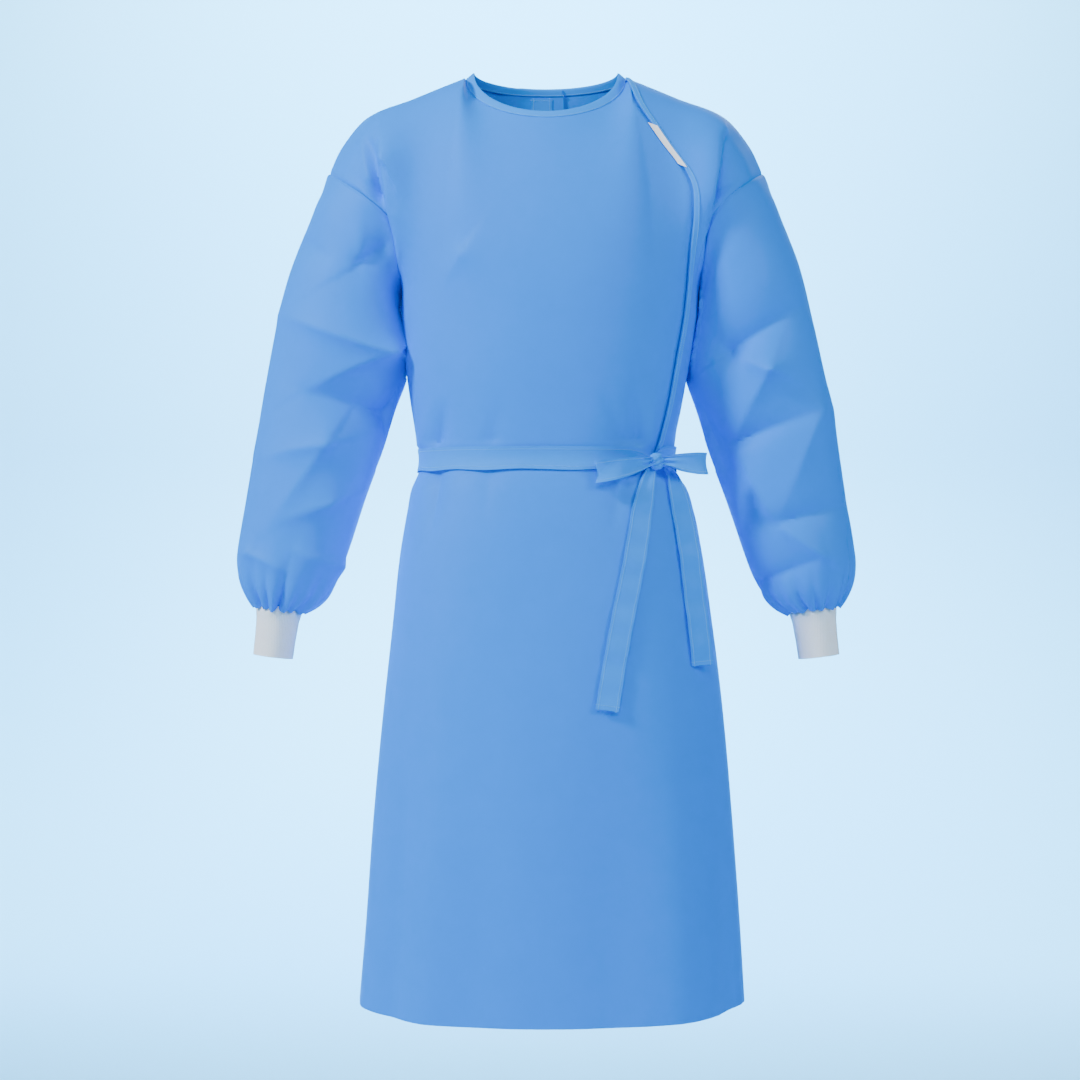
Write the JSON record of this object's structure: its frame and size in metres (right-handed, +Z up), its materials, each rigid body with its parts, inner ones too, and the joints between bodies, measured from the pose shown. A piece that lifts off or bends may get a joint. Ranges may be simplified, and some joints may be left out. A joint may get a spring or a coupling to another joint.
{
  "type": "isolation gown",
  "caption": "Long wrap-front isolation gown filled out as worn, with gathered sleeves, knitted cuffs and a waist belt tied in a bow.",
  "frame": {"origin": "midway between the two neck points of the shoulders, where the wearer holds the gown up", "axes": "+Z up along the wearer, +X to the wearer's left, the front faces -Y"},
  "size_m": [0.7752, 0.3076, 1.1657],
  "materials": {
    "cloth": "smooth matt non-woven",
    "trim": "stitched binding and tape",
    "knit": "fine rib knit",
    "tab": "smooth plain tape"
  },
  "bodies": {
    "root": {"front_main": "cloth", "front_side": "cloth", "back_left": "cloth", "back_right": "cloth", "sleeve_left": "cloth", "sleeve_right": "cloth", "cuff_left": "knit", "cuff_right": "knit", "neck_binding_front": "trim", "neck_binding_back_left": "trim", "neck_binding_back_right": "trim", "lap_binding": "trim", "back_tape": "trim", "neck_tab": "tab", "belt": "trim", "bow_knot": "trim", "bow_loop_left": "trim", "bow_loop_right": "trim", "belt_tail_left": "trim", "belt_tail_right": "trim"}
  },
  "joints": []
}
